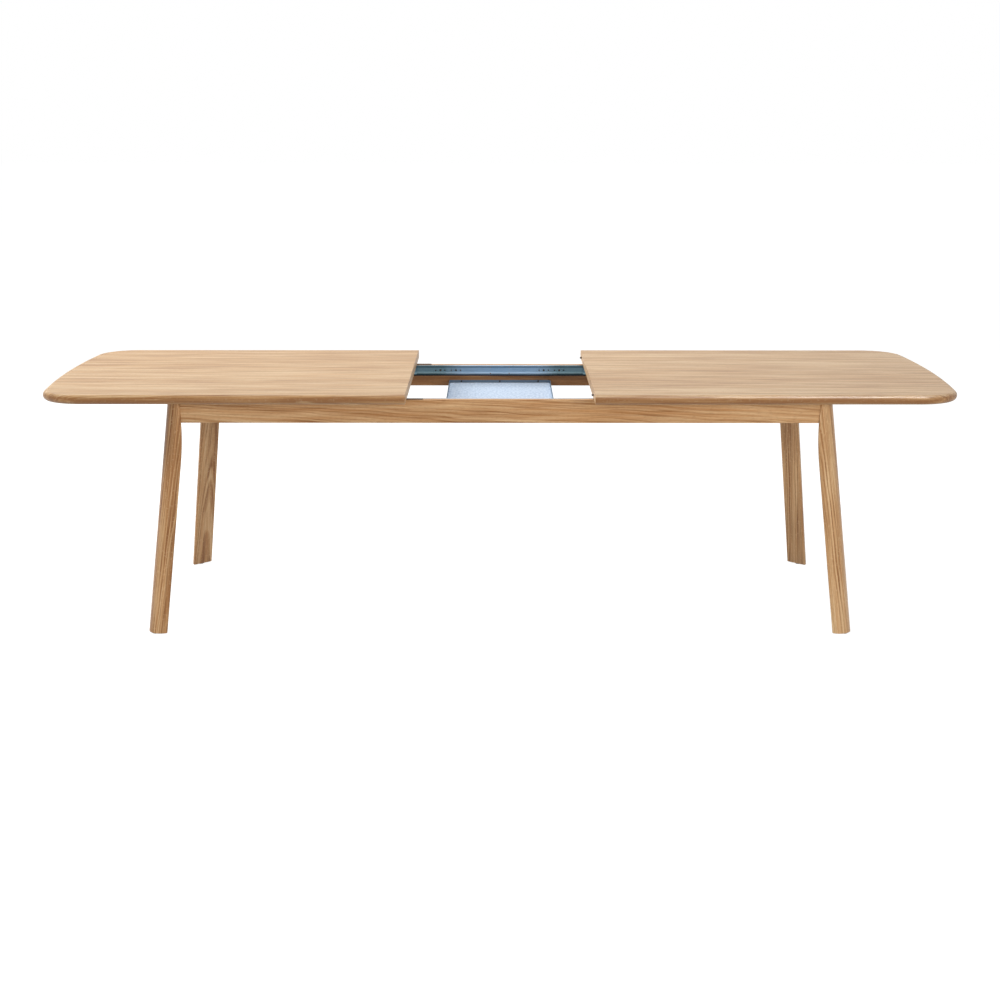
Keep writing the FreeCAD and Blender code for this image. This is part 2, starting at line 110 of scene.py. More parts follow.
# Blind holes in the long aprons, and all holes by bore, bore at the point and depth in millimetres
SPARE_HOLE_PITCH = 15.8 * MM
SPARE_HOLE_DEPTH = 13 * MM
SPARE_HOLE = (5.0, 0.6, 18.0)
SCREW_HOLE = (8.2, 4.6, 6.0)
BLOCK_HOLE = (8.2, 4.6, 90.0)

# Wood of each kind of board: the seed of its draws, and where its middle lies from the pith of its log,
# across and through it in millimetres. For the top it is the middle of each stave's underside.
BOARD_WOOD = {"top": (3, (-95, -60)), "apron": (30, (90, 60)), "end_apron": (40, (90, 60)),
              "batten": (50, (20, 70)), "runner": (60, (50, 50)), "block": (70, (40, 60))}
# The same for the middle of each leg's flat, across and inward: beside the pith for straight grain, outside
# it for arches. The last value is how dark the leg is.
LEG_WOOD = {"front_left": (17, (-95, -20), 0.03), "front_right": (19, (95, -20), 0.0),
            "rear_left": (21, (6, -46), 0.0), "rear_right": (23, (85, 10), 0.12)}
# How far the draws spread: along the log and from the pith in millimetres, and in tone
LOG_LENGTH = 4000
PITH_SPREAD = (25, 20)
TONE_SPREAD = 0.07
# How much painted shade darkens an apron's inner face and the top's rounded edge, how squarely a face has to
# look its way, and the rises of the normal between which the edge's painted shade sets in, from above and
# from below
INNER_FACE_PAINTED_SHADE = 0.36
PAINTED_SHADE_FACING = 0.7
EDGE_PAINTED_SHADE = 0.38
CUT_FACING = 0.99
UPPER_SLOPES = (0.85, 0.25)
LOWER_SLOPES = (-0.98, -0.68)

# Screws by head, shank and length in millimetres, with their pitch and recess as shares of the shank and head
BLOCK_SCREW = (8.0, 4.5, 27.2)
SLIDE_SCREW = (7.0, 3.5, 16.0)
TRAY_SCREW = (6.0, 3.0, 14.0)
RUNNER_SCREW = (8.0, 4.5, 51.4)
BATTEN_SCREW = (8.0, 4.5, 37.4)
PITCH_SHARE = 0.45
RECESS_SHARE = 0.44
# Shape of the thread, and of the cross recess as shares of its width
SCREW_SIDES = 16
THREAD_STEPS = 4.0
THREAD_CUT = 0.5
RECESS_FOOT_SHARE = 0.6
RECESS_DEPTH_SHARE = 0.45
RECESS_RISE_SHARE = 0.1
RECESS_ARM_SHARES = (0.7, 0.22)

# Bolts, washers, nuts and balls
BOLT_DIAMETER = 8 * MM
BOLT_PITCH = 1.8 * MM
WASHER_SIZES = {"Outer": 20 * MM, "Inner": 8.4 * MM, "Thickness": 1.6 * MM}
WASHER_STEPS = 40
WASHER_ROLL = 0.35 * MM
NUT_SIZES = {"Width": 13 * MM, "Height": 6 * MM, "Bore": 8.1 * MM}
NUT_DOME_SHARE = 0.64
BALL_DIAMETER = 4.8 * MM

# Felt lining of the centre tray
FELT_COLUMNS = 60
FELT_ROWS = 124
FELT_EDGE = 0.7 * MM
FELT_WAVE = 0.35 * MM
FELT_WAVE_LENGTH = 70 * MM

# Dark strips on the long aprons, painted shadow of the left half
STRIP_START = -322 * MM
STRIP_END = -233 * MM
STRIP_WIDTH = 15 * MM
STRIP_THICKNESS = 1.8 * MM
STRIP_EASE = 0.4 * MM
STRIP_STEPS = 12

# Seed of the fasteners' turns, steps round a hole, distances that count as touching and as one point, the
# angle of a sharp edge, and the ways about the table
SEED = 11
HOLE_STEPS = 24
TOUCH = 0.001 * MM
WELD = 0.01 * MM
SHARP_ANGLE = math.radians(35)
SIDES = (("left", -1), ("right", 1))
DEPTHS = (("front", -1), ("rear", 1))
X_AXIS = Vector((1, 0, 0))
Y_AXIS = Vector((0, 1, 0))
Z_AXIS = Vector((0, 0, 1))


# Small helpers

MATH = "ShaderNodeMath"
VECTOR_MATH = "ShaderNodeVectorMath"


def linear(code):
    """Linear RGBA of an sRGB hex colour."""
    parts = [int(code[place:place + 2], 16) / 255 for place in (1, 3, 5)]
    bright = [part / 12.92 if part <= 0.04045 else ((part + 0.055) / 1.055) ** 2.4 for part in parts]
    return (*bright, 1.0)


def between(value, start, end):
    """How far a value has come from a start to an end, from 0 to 1."""
    return min(max((value - start) / (end - start), 0), 1)


def add(tree, kind, inputs=(), output=0, stops=(), **settings):
    """Adds a node with its settings and colour stops, sets or links its inputs, and returns one of its
    outputs. A list is several links to one input."""
    made = tree.nodes.new(kind)
    for name, value in settings.items():
        setattr(made, name, value)
    for key, value in dict(inputs).items():
        sources = value if isinstance(value, list) else [value]
        for source in sources:
            if isinstance(source, bpy.types.NodeSocket):
                tree.links.new(source, made.inputs[key])
            else:
                made.inputs[key].default_value = source
    for place, (position, code) in enumerate(stops):
        elements = made.color_ramp.elements
        element = elements[place] if place < len(elements) else elements.new(position)
        element.position = position
        element.color = linear(code)
    return made.outputs[output] if made.outputs else None


def empty_tree(owner):
    """The node tree of a material or a world, with nothing in it."""
    owner.use_nodes = True
    owner.node_tree.nodes.clear()
    return owner.node_tree


def new_material(name, **sockets):
    """A material of one Principled shader with these values, its tree and the shader's node."""
    material = bpy.data.materials.new(name)
    tree = empty_tree(material)
    values = {key.replace("_", " "): value for key, value in sockets.items()}
    surface = add(tree, "ShaderNodeBsdfPrincipled", values)
    add(tree, "ShaderNodeOutputMaterial", {"Surface": surface})
    return material, tree, surface.node


def wire(tree, shader, **sources):
    """Links these values to a shader's sockets."""
    for socket, source in sources.items():
        tree.links.new(source, shader.inputs[socket.replace("_", " ")])


def mottle(tree, place, sizes, detail):
    """Noise whose marks have these sizes along the axes of a place."""
    scaled = add(tree, VECTOR_MATH, {0: place, 1: sizes}, operation="DIVIDE")
    return add(tree, "ShaderNodeTexNoise", {"Vector": scaled, "Scale": 1.0, "Detail": detail})


def as_mesh(form, name, material):
    """Turns a bmesh into a mesh of one material, with its faces outward."""
    mesh = bpy.data.meshes.new(name)
    bmesh.ops.recalc_face_normals(form, faces=form.faces)
    form.to_mesh(mesh)
    form.free()
    mesh.materials.append(material)
    return mesh


def new_piece(name, mesh, body, slot, *nodes):
    """Turns a mesh into a piece that rides on a body and stands for CAD nodes."""
    mesh.polygons.foreach_set("use_smooth", [True] * len(mesh.polygons))
    mesh.set_sharp_from_angle(angle=SHARP_ANGLE)
    piece = bpy.data.objects.new(name, mesh)
    bpy.context.scene.collection.objects.link(piece)
    if nodes:
        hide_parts(*nodes)
    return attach(piece, body)


def skin(form, rows, closed=False):
    """Joins rows of vertices, each as long as the last, with quads."""
    for row, following in zip(rows, rows[1:]):
        count = len(row) if closed else len(row) - 1
        for place in range(count):
            after = (place + 1) % len(row)
            form.faces.new((row[place], row[after], following[after], following[place]))


# Oak

def lay_grain(piece, seed, origin, along, across, pith, stave=None, shaded_way=None, edge=0.0, shade=0.0):
    """Gives each corner its place in its board, in millimetres from the pith, and each board its tone.
    Staves of one board width lie side by side along Y, and the draws are seeded for each. Painted shade
    darkens a face that looks the shaded way, and the rounded edge of a level board."""
    mesh = piece.data
    through = along.cross(across)
    mesh.attributes.new("grain", "FLOAT_VECTOR", "CORNER")
    mesh.attributes.new("tone", "FLOAT", "CORNER")
    grain, tone = mesh.attributes["grain"], mesh.attributes["tone"]
    for polygon in mesh.polygons:
        number = math.floor((polygon.center.y - STAVE_START) / stave) if stave else 0
        draw = random.Random(seed * 100 + number)
        along_log = draw.uniform(0, LOG_LENGTH)
        from_pith = [place + draw.uniform(-spread, spread) for place, spread in zip(pith, PITH_SPREAD)]
        shift = Vector((along_log, *from_pith))
        middle = (number + 0.5) * stave + STAVE_START if stave else 0
        board_tone_and_shade = draw.uniform(-TONE_SPREAD, TONE_SPREAD) - shade
        # Painted shade: a face turned the shaded way, an apron's inner face, is darker
        if shaded_way and polygon.normal.dot(shaded_way) > PAINTED_SHADE_FACING:
            board_tone_and_shade -= INNER_FACE_PAINTED_SHADE
        # Painted shade on the rounded edge, but not on the cut face
        edge_painted_shade = edge if abs(polygon.normal.x) < CUT_FACING else 0
        for corner in polygon.loop_indices:
            vertex = mesh.vertices[mesh.loops[corner].vertex_index]
            point = vertex.co - origin
            place = Vector((point.dot(along), point.dot(across) - middle, point.dot(through)))
            grain.data[corner].vector = place / MM + shift
            rise = vertex.normal.z
            rounded = min(between(rise, *UPPER_SLOPES), between(rise, *LOWER_SLOPES))
            tone.data[corner].value = board_tone_and_shade - edge_painted_shade * rounded
    return piece


# Layers of the figure: size along, across and through the board in millimetres, and steps of detail
OAK_LAYERS = {"wander": ((260, 50, 50), 2.0), "fibres": ((130, 3.0, 3.0), 4.0), "broad": ((320, 26, 26), 2.0),
              "streaks": ((300, 9, 9), 2.0), "pores": ((18, 0.8, 0.8), 2.0)}
FLECK_LENGTH = 7
FLECK_WIDTH = 1.8
FLECK_DEPTH = 10
# Growth rings in millimetres: their width, how far they wander, and how the trunk tapers
RING_WIDTH = 5.0
RING_WANDER = 16
TRUNK_TAPER = 0.045
# What two layers add to the tone, the tones of the three colours, and where streaks, flecks and pores set in
LAYER_WEIGHTS = {"fibres": 0.7, "broad": 0.7}
OAK_TONES = (0.24, 0.5, 0.76)
STREAK_RANGE = (0.42, 0.72)
STREAK_STRENGTH = 0.6
FLECK_RANGE = (0.58, 0.72)
PORE_RANGE = (0.56, 0.68)
PORE_STRENGTH = 0.5
# How far the sheen goes below and above the roughness, and the depth of the pores
SHEEN_RANGE = (0.06, 0.1)
OAK_RELIEF = 0.1 * MM


def oak(name, dark, middle, pale, warm, roughness, rings, flecks, fleck_width=FLECK_WIDTH):
    """Oiled oak, planed and sanded: straight fibres, growth rings that taper along the trunk and so draw
    arches on a flat-sawn face, warm streaks, open dark pores and pale ray flecks under a satin finish. It
    reads the piece's own grain attribute, in millimetres along and across the board. The pores are drawn
    wider than the real quarter of a millimetre, so that they show."""
    material, tree, shader = new_material(name, IOR=1.5)
    grain = add(tree, "ShaderNodeAttribute", output="Vector", attribute_name="grain")
    # The tone attribute also carries painted shade on the aprons' inner faces and the top's rounded edge
    tone = add(tree, "ShaderNodeAttribute", output="Fac", attribute_name="tone")
    fleck_size = (FLECK_LENGTH, fleck_width, FLECK_DEPTH)
    layers = {}
    for layer, (size, detail) in dict(OAK_LAYERS, flecks=(fleck_size, 1.0)).items():
        layers[layer] = mottle(tree, grain, size, detail)
    wander = layers["wander"].node.outputs["Color"]
    bend = add(tree, VECTOR_MATH, {0: wander, 1: (0, RING_WANDER, RING_WANDER), 2: grain},
               operation="MULTIPLY_ADD")
    flat = add(tree, VECTOR_MATH, {0: bend, 1: (0, 1, 1)}, operation="MULTIPLY")
    radius = add(tree, VECTOR_MATH, {0: flat}, output="Value", operation="LENGTH")
    along = add(tree, "ShaderNodeSeparateXYZ", {0: grain}, output="X")
    tapered = add(tree, MATH, {0: along, 1: TRUNK_TAPER, 2: radius}, operation="MULTIPLY_ADD")
    seasons = add(tree, MATH, {0: tapered, 1: RING_WIDTH}, operation="DIVIDE")
    layers["rings"] = add(tree, "ShaderNodeTexNoise", {"W": seasons, "Scale": 1.0, "Detail": 3.0},
                          noise_dimensions="1D")
    weights = {"rings": rings, **LAYER_WEIGHTS}
    value = add(tree, MATH, {0: tone, 1: 0.5 - sum(weights.values()) / 2}, operation="ADD")
    for layer, weight in weights.items():
        value = add(tree, MATH, {0: layers[layer], 1: weight, 2: value}, operation="MULTIPLY_ADD")
    stops = tuple(zip(OAK_TONES, (dark, middle, pale)))
    colour = add(tree, "ShaderNodeValToRGB", {"Fac": value}, stops=stops)
    marks = {}
    for layer, (low, high), strength, code in (("streaks", STREAK_RANGE, STREAK_STRENGTH, warm),
                                               ("flecks", FLECK_RANGE, flecks, pale),
                                               ("pores", PORE_RANGE, PORE_STRENGTH, dark)):
        marks[layer] = add(tree, "ShaderNodeMapRange", {"Value": layers[layer], "From Min": low,
                                                        "From Max": high, "To Max": strength})
        colour = add(tree, "ShaderNodeMix", {0: marks[layer], 6: colour, 7: linear(code)}, output=2,
                     data_type="RGBA")
    sheen = add(tree, "ShaderNodeMapRange", {"Value": layers["fibres"], "To Min": roughness - SHEEN_RANGE[0],
                                             "To Max": roughness + SHEEN_RANGE[1]})
    height = add(tree, MATH, {0: marks["pores"], 1: -1.0, 2: layers["fibres"]},
                 operation="MULTIPLY_ADD")
    relief = add(tree, "ShaderNodeBump", {"Height": height, "Strength": 0.25, "Distance": OAK_RELIEF})
    wire(tree, shader, Base_Color=colour, Roughness=sheen, Normal=relief)
    return material


# Colours dark, middle, pale and warm; roughness; strength of the rings and of the flecks; width of the flecks
oak_top = oak("oiled_oak_top", "#885C32", "#BD9B72", "#D9C09B", "#C39866", 0.43, 0.8, 0.1)
oak_frame = oak("oiled_oak_frame", "#845425", "#BB9063", "#D6B286", "#BF8954", 0.45, 0.75, 0.12)
oak_leg = oak("oiled_oak_leg", "#845425", "#BE9466", "#DBB98D", "#C18C58", 0.36, 0.95, 0.28, 8.0)
oak_inside = oak("unfinished_oak", "#8F6B45", "#B4906A", "#CBAC86", "#BC8F5E", 0.65, 0.9, 0.3)


# Metal, plastics and felt

# Where the noise of a finish mostly lies, and how far the polish drifts
DRIFT_LOW = 0.3
DRIFT_HIGH = 0.7
POLISH_DRIFT = 0.06


def drifting(tree, shader, marks, roughness, relief):
    """Gives a shader a polish and a relief that drift along marks of this size in millimetres, and returns
    the object coordinates and the drift."""
    place = add(tree, "ShaderNodeTexCoord", output="Object")
    drift = mottle(tree, place, tuple(mark * MM for mark in marks), 3.0)
    polish = add(tree, "ShaderNodeMapRange", {"Value": drift, "From Min": DRIFT_LOW, "From Max": DRIFT_HIGH,
                                              "To Min": roughness - POLISH_DRIFT,
                                              "To Max": roughness + POLISH_DRIFT})
    bump = add(tree, "ShaderNodeBump", {"Height": drift, "Strength": 0.3, "Distance": relief * MM})
    wire(tree, shader, Roughness=polish, Normal=bump)
    return place, drift


def finish(name, dark, pale, roughness, marks, relief, **sockets):
    """A surface whose tone, polish and relief drift along marks of this size in millimetres."""
    material, tree, shader = new_material(name, **sockets)
    drift = drifting(tree, shader, marks, roughness, relief)[1]
    colour = add(tree, "ShaderNodeValToRGB", {"Fac": drift}, stops=((DRIFT_LOW, dark), (DRIFT_HIGH, pale)))
    wire(tree, shader, Base_Color=colour)
    return material


# Thin pressed strip: greyer, with blotches from the drawing oil
pressed_steel = finish("pressed_steel", "#9EA2A5", "#B4B8BA", 0.38, (14, 5, 5), 0.03, Metallic=1.0)
# Ground and hardened balls: near mirrors
ball_steel = finish("hardened_ball_steel", "#C3C5C8", "#D2D4D6", 0.12, (2.5, 2.5, 2.5), 0.002, Metallic=1.0)
# Browned and waxed cold-headed wire: dark, with small uneven crystals
screw_steel = finish("browned_screw_steel", "#383531", "#4C4843", 0.38, (1.8, 1.8, 1.8), 0.02, Metallic=1.0)
# Sprayed and baked coat: even colour, fine orange peel
tray_enamel = finish("powder_coated_steel", "#5E7082", "#6C7E90", 0.5, (2.2, 2.2, 2.2), 0.08, IOR=1.5)
# Moulded rubber: dull, almost black, lightly grained
buffer_rubber = finish("moulded_rubber", "#161617", "#222223", 0.75, (1.2, 1.2, 1.2), 0.06, IOR=1.52)
# Injection-moulded nylon of the glides: dark brown with a slight shine and fine grain
glide_nylon = finish("moulded_nylon", "#26211E", "#332C28", 0.45, (1.5, 1.5, 1.5), 0.04, IOR=1.53)
# Dark brown nylon strips laid as painted shadow beside the left half's cut, rubbed along X
painted_shadow_nylon = finish("dark_nylon_painted_shadow", "#3A291D", "#4B3626", 0.65, (30, 1.5, 1.5), 0.03, IOR=1.53)
# Turned nylon rod of the pins: rings from the tool show as faint bands along X
pin_nylon = finish("turned_nylon", "#463C34", "#564A40", 0.4, (0.5, 6, 6), 0.02, IOR=1.53)


# Zinc plating: size of its streaks in millimetres, and how far out from the middle its pale painted
# reflection ends and its dark painted shade is full
ZINC_STREAKS = (70, 1.4, 1.4)
PAINTED_REFLECTION_END = 120 * MM
PAINTED_SHADE_START = 205 * MM
# Shares up the slide channel and the painted light there: painted shade at the lower bend, a painted
# highlight along the track, the face, painted shade at the upper bend, and the lip
CHANNEL_PAINTED_LIGHT = ((0.0, "#39464F"), (0.1, "#2B363E"), (0.16, "#FFFFFF"), (0.3, "#FFFFFF"), (0.36, "#C4CBD1"),
                 (0.72, "#C4CBD1"), (0.8, "#7C8891"), (0.92, "#7C8891"), (1.0, "#FFFFFF"))


def zinc_strip():
    """Rolled strip, zinc plated with a blue pass: long faint streaks and a blurred shine. Its colour carries
    a pale painted reflection in the middle of the table and a darker, greener painted shade toward the ends;
    along the strip one track has a painted highlight and both bends have painted shade."""
    material, tree, shader = new_material("zinc_plated_steel", Metallic=1.0)
    place, drift = drifting(tree, shader, ZINC_STREAKS, roughness=0.32, relief=0.03)
    parts = add(tree, "ShaderNodeSeparateXYZ", {0: place}).node.outputs
    out = add(tree, MATH, {0: parts["X"]}, operation="ABSOLUTE")
    # Painted shade toward both ends, under the halves, and painted reflection in the middle
    end_shade_mask = add(tree, "ShaderNodeMapRange", {"Value": out, "From Min": PAINTED_REFLECTION_END, "From Max": PAINTED_SHADE_START},
               interpolation_type="SMOOTHSTEP")
    blue_with_painted_reflection, green_with_painted_shade = [add(tree, "ShaderNodeValToRGB", {"Fac": drift},
                       stops=((DRIFT_LOW, dark), (DRIFT_HIGH, pale)))
                   for dark, pale in (("#AFC8DB", "#CBE1F2"), ("#67818A", "#7D97A0"))]
    plating_with_painted_light = add(tree, "ShaderNodeMix", {0: end_shade_mask, 6: blue_with_painted_reflection, 7: green_with_painted_shade}, output=2, data_type="RGBA")
    # Painted shade at both bends and a painted highlight along the track, by height up the channel
    low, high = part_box("rear_slide_channel")
    level = add(tree, "ShaderNodeMapRange", {"Value": parts["Z"], "From Min": low.z, "From Max": high.z})
    painted_bands = add(tree, "ShaderNodeValToRGB", {"Fac": level}, stops=CHANNEL_PAINTED_LIGHT)
    rolled = add(tree, "ShaderNodeMix", {0: 1.0, 6: plating_with_painted_light, 7: painted_bands}, output=2, data_type="RGBA",
                 blend_type="MULTIPLY")
    wire(tree, shader, Base_Color=rolled)
    return material


# Speckle and tufts of the felt: size in millimetres, steps of detail and weight
FELT_LAYERS = (((3.0, 1.3, 1.3), 3.0, 0.4), ((7, 20, 7), 1.0, 0.6))


def wool_felt():
    """Pressed wool felt, pale blue-grey: pale and dark fibres in a fine speckle over soft tufts, dull with a
    slight sheen at a low angle. The fibres are drawn thicker than real ones, so that the speckle shows."""
    material, tree, shader = new_material("pressed_wool_felt", Roughness=0.95, Sheen_Weight=0.25,
                                          Sheen_Roughness=0.6)
    place = add(tree, "ShaderNodeTexCoord", output="Object")
    value = 0.0
    for marks, detail, weight in FELT_LAYERS:
        layer = mottle(tree, place, tuple(mark * MM for mark in marks), detail)
        value = add(tree, MATH, {0: layer, 1: weight, 2: value}, operation="MULTIPLY_ADD")
    colour = add(tree, "ShaderNodeValToRGB", {"Fac": value},
                 stops=((0.3, "#9AAFC8"), (0.5, "#B6C9E0"), (0.7, "#D2DFF0")))
    relief = add(tree, "ShaderNodeBump", {"Height": value, "Strength": 0.2, "Distance": 0.4 * MM})
    wire(tree, shader, Base_Color=colour, Normal=relief)
    return material


zinc_steel = zinc_strip()
grey_felt = wool_felt()


# Top halves

def top_outline(low, high):
    """Outline of the right half from the front of the cut round the end to its rear: points, and the way that
    each faces."""
    half_width = high.y
    end_radius = (half_width ** 2 + END_BOW ** 2) / (2 * END_BOW)
    end_centre = high.x - end_radius
    corner_y = half_width - CORNER_RADIUS
    corner_x = end_centre + math.sqrt((end_radius - CORNER_RADIUS) ** 2 - corner_y ** 2)
    turn = math.atan2(corner_y, corner_x - end_centre)
    arcs = ((Vector((corner_x, -corner_y)), CORNER_RADIUS, -math.pi / 2, -turn, CORNER_STEPS),
            (Vector((end_centre, 0)), end_radius, -turn, turn, END_STEPS),
            (Vector((corner_x, corner_y)), CORNER_RADIUS, turn, math.pi / 2, CORNER_STEPS))
    front, rear = Vector((0, -1)), Vector((0, 1))
    outline = [(Vector((low.x + CUT_EASE, -half_width)), front), (Vector((corner_x, -half_width)), front)]
    for centre, radius, first, last, steps in arcs:
        for step in range(1, steps + 1):
            angle = first + (last - first) * step / steps
            outward = Vector((math.cos(angle), math.sin(angle)))
            outline.append((centre + outward * radius, outward))
    return outline + [(Vector((low.x + CUT_EASE, half_width)), rear)]


def edge_section(low, high):
    """Bullnose from the upper face to the lower: how far in, how high, and the way each point faces."""
    radius = (high.z - low.z - EDGE_FLAT) / 2
    angles = [math.pi / 2 * step / EDGE_STEPS for step in range(EDGE_STEPS + 1)]
    upper = [(radius * (1 - math.sin(angle)), high.z - radius * (1 - math.cos(angle)), math.sin(angle),
              math.cos(angle)) for angle in angles]
    upper.insert(0, (radius + SHADING_BORDER, high.z, 0, 1))
    return upper + [(inset, low.z + high.z - z, out, -rise) for inset, z, out, rise in reversed(upper)]


def top_half(name, side, hole_radius, hole_depth):
    """One half of the top, with the holes for the alignment pins in its cut face."""
    low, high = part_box("right_top")
    form = bmesh.new()
    section = edge_section(low, high)
    rows = []
    for point, outward in top_outline(low, high):
        places = [(point - outward * inset, z) for inset, z, out, rise in section]
        rows.append([form.verts.new((side * place.x, place.y, z)) for place, z in places])
    skin(form, rows)
    form.faces.new([row[0] for row in rows])
    form.faces.new([row[-1] for row in rows])
    rim = rows[0] + rows[-1][::-1]
    ways = [(-out, rise) for inset, z, out, rise in section]
    ways += [(out, rise) for inset, z, out, rise in reversed(section)]
    face = [form.verts.new((side * low.x, vert.co.y - CUT_EASE * way[0], vert.co.z - CUT_EASE * way[1]))
            for vert, way in zip(rim, ways)]
    skin(form, [rim, face], closed=True)
    edges = [form.edges.get((face[place - 1], face[place])) for place in range(len(face))]
    pin_low, pin_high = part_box("alignment_pins")
    level = (pin_low.z + pin_high.z) / 2
    pin_y = pin_high.y - (pin_high.z - pin_low.z) / 2
    turns = [2 * math.pi * step / HOLE_STEPS for step in range(HOLE_STEPS)]
    mouth = ((low.x, hole_radius + CUT_EASE), (low.x + CUT_EASE, hole_radius),
             (low.x + hole_depth, hole_radius))
    for y in (-pin_y, pin_y):
        rings = []
        for x, radius in mouth:
            ring = [(side * x, y + radius * math.cos(turn), level + radius * math.sin(turn))
                    for turn in turns]
            rings.append([form.verts.new(point) for point in ring])
        skin(form, rings, closed=True)
        form.faces.new(rings[-1])
        edges += [form.edges.get((rings[0][step - 1], rings[0][step])) for step in range(HOLE_STEPS)]
    bmesh.ops.triangle_fill(form, use_beauty=True, edges=edges, normal=(-side, 0, 0))
    for number in range(-STAVES_EACH_SIDE, STAVES_EACH_SIDE):
        geometry = form.verts[:] + form.edges[:] + form.faces[:]
        bmesh.ops.bisect_plane(form, geom=geometry, dist=TOUCH, plane_no=Y_AXIS,
                               plane_co=(0, STAVE_START + number * STAVE_WIDTH, 0))
    mesh = as_mesh(form, name + "_top_board", oak_top)
    piece = new_piece(name + "_top_board", mesh, name + "_half", "oak_top", name + "_top")
    seed, pith = BOARD_WOOD["top"]
    # Painted shade darkens the rounded edge of the top
    return lay_grain(piece, seed + side, Vector((0, 0, low.z)), X_AXIS, Y_AXIS, pith, STAVE_WIDTH,
                     edge=EDGE_PAINTED_SHADE)


top_half("left", -1, *PIN_SOCKET)
top_half("right", 1, *PIN_HOLE)


# Legs

def leg_section(cut):
    """Round section whose flat lies this far out, with rounded arrises: places across and outward."""
    rise = cut + LEG_SINK + LEG_ARRIS
    reach = math.sqrt((LEG_ROUND - LEG_ARRIS) ** 2 - rise ** 2)
    swing = math.atan2(rise, reach)
    points = [(reach - SHADING_BORDER, cut)]
    for step in range(ARRIS_STEPS + 1):
        angle = -math.pi / 2 + (swing + math.pi / 2) * step / ARRIS_STEPS
        points.append((reach + LEG_ARRIS * math.cos(angle), cut + LEG_ARRIS + LEG_ARRIS * math.sin(angle)))
    mirrored = [(-across, outward) for across, outward in reversed(points)]
    for step in range(1, ROUND_STEPS):
        angle = swing + (math.pi - 2 * swing) * step / ROUND_STEPS
        points.append((LEG_ROUND * math.cos(angle), LEG_ROUND * math.sin(angle) - LEG_SINK))
    return points + mirrored


def leg_cut(level, seat_start):
    """How far the flat face has come out of the leaning bar at a level: not at all below the bend."""
    past = level - seat_start + LEG_BEND
    if past <= 0:
        return 0
    if past < 2 * LEG_BEND:
        return LEG_LEAN * past ** 2 / (4 * LEG_BEND)
    return LEG_LEAN * (level - seat_start)


def leg(place, depth, name, side):
    """One leg: round to the outside, flat to the middle of the table."""
    corner = place + "_" + name
    low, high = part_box(corner + "_leg")
    inner = Vector((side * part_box("right_end_apron")[0].x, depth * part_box("rear_apron")[0].y, 0))
    diagonal = Vector((side, depth, 0)).normalized()
    across = Vector((-diagonal.y, diagonal.x, 0))
    seat = inner + diagonal * MITRE_LAND
    seat_start = high.z - LEG_SEAT_LENGTH
    stages = (low.z + FOOT_EASE, seat_start - LEG_BEND, seat_start + LEG_BEND, high.z)
    levels = [low.z]
    for first, last, steps in zip(stages, stages[1:], LEG_STEPS):
        levels += [first + (last - first) * step / steps for step in range(steps)]
    levels.append(high.z)
    form = bmesh.new()
    rows = []
    for level in levels:
        centre = seat + diagonal * (LEG_LEAN * (seat_start - level)) + Z_AXIS * level
        section = leg_section(leg_cut(level, seat_start))
        points = [centre + across * wide + diagonal * outward for wide, outward in section]
        if level == low.z:
            middle = sum(points, Vector()) / len(points)
            points = [point + (middle - point).normalized() * FOOT_EASE for point in points]
        rows.append([form.verts.new(point) for point in points])
    skin(form, rows, closed=True)
    form.faces.new(rows[0])
    form.faces.new(rows[-1])
    mesh = as_mesh(form, corner + "_post", oak_leg)
    piece = new_piece(corner + "_post", mesh, "frame", "oak_frame", corner + "_leg")
    axis = (Z_AXIS - diagonal * LEG_LEAN).normalized()
    seed, pith, shade = LEG_WOOD[corner]
    return lay_grain(piece, seed, seat + Z_AXIS * seat_start, axis, across, pith, shade=shade)


for place, depth in DEPTHS:
    for name, side in SIDES:
        leg(place, depth, name, side)


# Places of the fasteners, read from their solids

def solids_of(node):
    """The points of each separate solid of a CAD node, in the order of the solids' middles."""
    def rounded_middle(points):
        return tuple(round(value, 5) for value in sum(points, Vector()) / len(points))

    form = bmesh.new()
    form.from_mesh(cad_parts[node].data)
    bmesh.ops.remove_doubles(form, verts=form.verts, dist=WELD)
    solids = []
    left = set(form.verts)
    while left:
        group, edge = set(), [left.pop()]
        while edge:
            vert = edge.pop()
            group.add(vert)
            near = {link.other_vert(vert) for link in vert.link_edges} & left
            left -= near
            edge += near
        solids.append([vert.co.copy() for vert in group])
    form.free()
    return sorted(solids, key=rounded_middle)


# Ways that a solid with this middle and size may point

def upward(middle, size):
    return Z_AXIS


def outward(middle, size):
    if size.x > size.y:
        return X_AXIS * math.copysign(1, middle.x)
    return Y_AXIS * math.copysign(1, middle.y)


def inward(middle, size):
    return -outward(middle, size)


def to_corner(middle, size):
    return Vector((math.copysign(1, middle.x), math.copysign(1, middle.y), 0)).normalized()


def seats(node, way):
    """Where each turned solid of a CAD node starts, the way it points and its length."""
    found = []
    for points in solids_of(node):
        low = Vector([min(point[axis] for point in points) for axis in range(3)])
        high = Vector([max(point[axis] for point in points) for axis in range(3)])
        middle = (low + high) / 2
        axis = way(middle, high - low)
        heights = [(point - middle).dot(axis) for point in points]
        found.append((middle + axis * min(heights), axis, max(heights) - min(heights)))
    return found


# Trees of nodes

def new_tree(name, *sizes):
    """A tree that takes in a geometry, these named sizes and a finish, and the sockets they come from."""
    tree = bpy.data.node_groups.new(name, "GeometryNodeTree")
    tree.interface.new_socket("Geometry", in_out="INPUT", socket_type="NodeSocketGeometry")
    for size in sizes:
        tree.interface.new_socket(size, in_out="INPUT", socket_type="NodeSocketFloat")
    tree.interface.new_socket("Finish", in_out="INPUT", socket_type="NodeSocketMaterial")
    tree.interface.new_socket("Geometry", in_out="OUTPUT", socket_type="NodeSocketGeometry")
    return tree, add(tree, "NodeGroupInput").node.outputs


